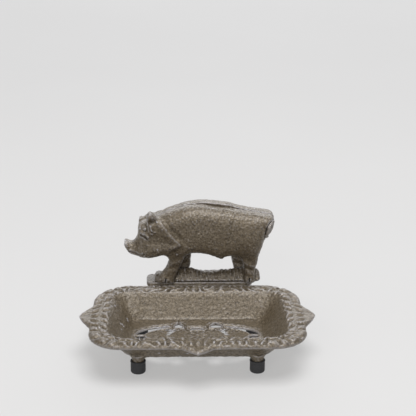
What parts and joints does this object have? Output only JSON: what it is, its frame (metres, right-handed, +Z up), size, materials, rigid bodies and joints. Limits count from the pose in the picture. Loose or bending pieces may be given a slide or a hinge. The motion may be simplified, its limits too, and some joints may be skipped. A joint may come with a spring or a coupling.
{
  "type": "footed soap dish with pig figure",
  "caption": "Cast-iron footed soap dish with a gadrooned rim, pierced draining floor and a pig figure standing on a rear tab.",
  "frame": {"origin": "middle of the bounding box in plan, on the surface that the dish stands on", "axes": "+X along the dish's length, towards the pig's tail; +Y from the front of the dish to the pig; +Z up"},
  "size_m": [0.1476, 0.1136, 0.0818],
  "materials": {
    "tray_iron": "oiled sand-cast iron, brown grey, fine grain, lighter where rubbed",
    "pig_iron": "oiled sand-cast iron, brown grey, coarse grain, darker in the hollows",
    "cap_rubber": "matt black moulded rubber",
    "screw_steel": "zinc-plated steel"
  },
  "bodies": {
    "root": {"tray": "tray_iron", "pig_near_half": "pig_iron", "pig_far_half": "pig_iron", "foot_cap_front_left": "cap_rubber", "foot_cap_front_right": "cap_rubber", "foot_cap_rear_left": "cap_rubber", "foot_cap_rear_right": "cap_rubber", "mound_screw_left": "screw_steel", "mound_screw_right": "screw_steel", "body_screw": "screw_steel", "spring_washer_left": "screw_steel", "spring_washer_right": "screw_steel"}
  },
  "joints": []
}
